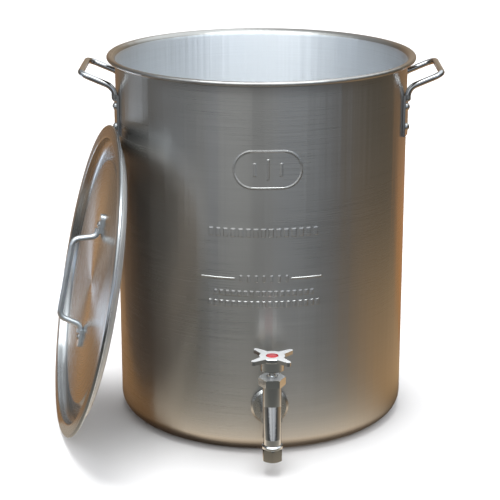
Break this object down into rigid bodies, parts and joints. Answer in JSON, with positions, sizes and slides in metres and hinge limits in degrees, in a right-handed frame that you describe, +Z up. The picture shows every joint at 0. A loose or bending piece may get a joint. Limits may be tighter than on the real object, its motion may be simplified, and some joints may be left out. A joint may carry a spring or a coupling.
{
  "type": "brew kettle",
  "caption": "Open stainless brewing kettle with rolled rim, riveted loop handles, a leaning sunk lid and a cross-handled drain tap low on the front.",
  "frame": {"origin": "centre of the pot's flat base, on the floor", "axes": "+Z up along the pot's axis, the tap on the -Y side, the two loop handles on -X and +X"},
  "size_m": [0.4462, 0.4241, 0.4125],
  "materials": {
    "pot_steel": "satin, brushed around the pot",
    "lid_steel": "satin, brushed in circles",
    "handle_chrome": "polished",
    "rivet_steel": "polished",
    "tap_chrome": "polished",
    "plain_steel": "machined",
    "seal_rubber": "matt black",
    "white_seal": "waxy white",
    "fibre": "red-brown fibre",
    "red_plastic": "glossy red",
    "lid_rod_steel": "satin grey"
  },
  "bodies": {
    "kettle": {"pot_shell": "pot_steel", "left_handle": "handle_chrome", "right_handle": "handle_chrome", "handle_rivets": "rivet_steel", "valve_body": "tap_chrome", "wall_flange": "tap_chrome", "outer_gasket": "seal_rubber", "inner_gasket": "seal_rubber", "inner_washer": "plain_steel", "lock_nut": "plain_steel", "bonnet": "tap_chrome", "bonnet_washer": "fibre", "packing_ring": "white_seal", "packing_nut": "tap_chrome", "outlet_nut": "tap_chrome", "outlet_washer": "seal_rubber"},
    "seat_carrier": {"seat_washer": "seal_rubber", "washer_holder": "plain_steel", "washer_screw": "plain_steel"},
    "spindle": {"stem": "plain_steel", "cross_handle": "tap_chrome", "handle_screw": "plain_steel", "index_button": "red_plastic"},
    "lid": {"lid_shell": "lid_steel", "lid_handle": "lid_rod_steel", "lid_rivets": "rivet_steel"}
  },
  "joints": [
    {"name": "stem_rise", "type": "slide", "parent": "kettle", "child": "seat_carrier", "axis": [0, 0, 1], "range_m": [0, 0.005]},
    {"name": "handle_turn", "type": "hinge", "parent": "seat_carrier", "child": "spindle", "pos_m": [0.01216, -0.20464, 0.1], "axis": [0, 0, 1], "range_deg": [0, 720]},
    {"name": "lid_lift", "type": "slide", "parent": "kettle", "child": "lid", "axis": [-0.9573, -0.207, 0.2019], "range_m": [0, 0.25]}
  ],
  "couplings": [
    {"joint": "stem_rise", "follows": "handle_turn", "m_per_rad": 0.000397}
  ]
}
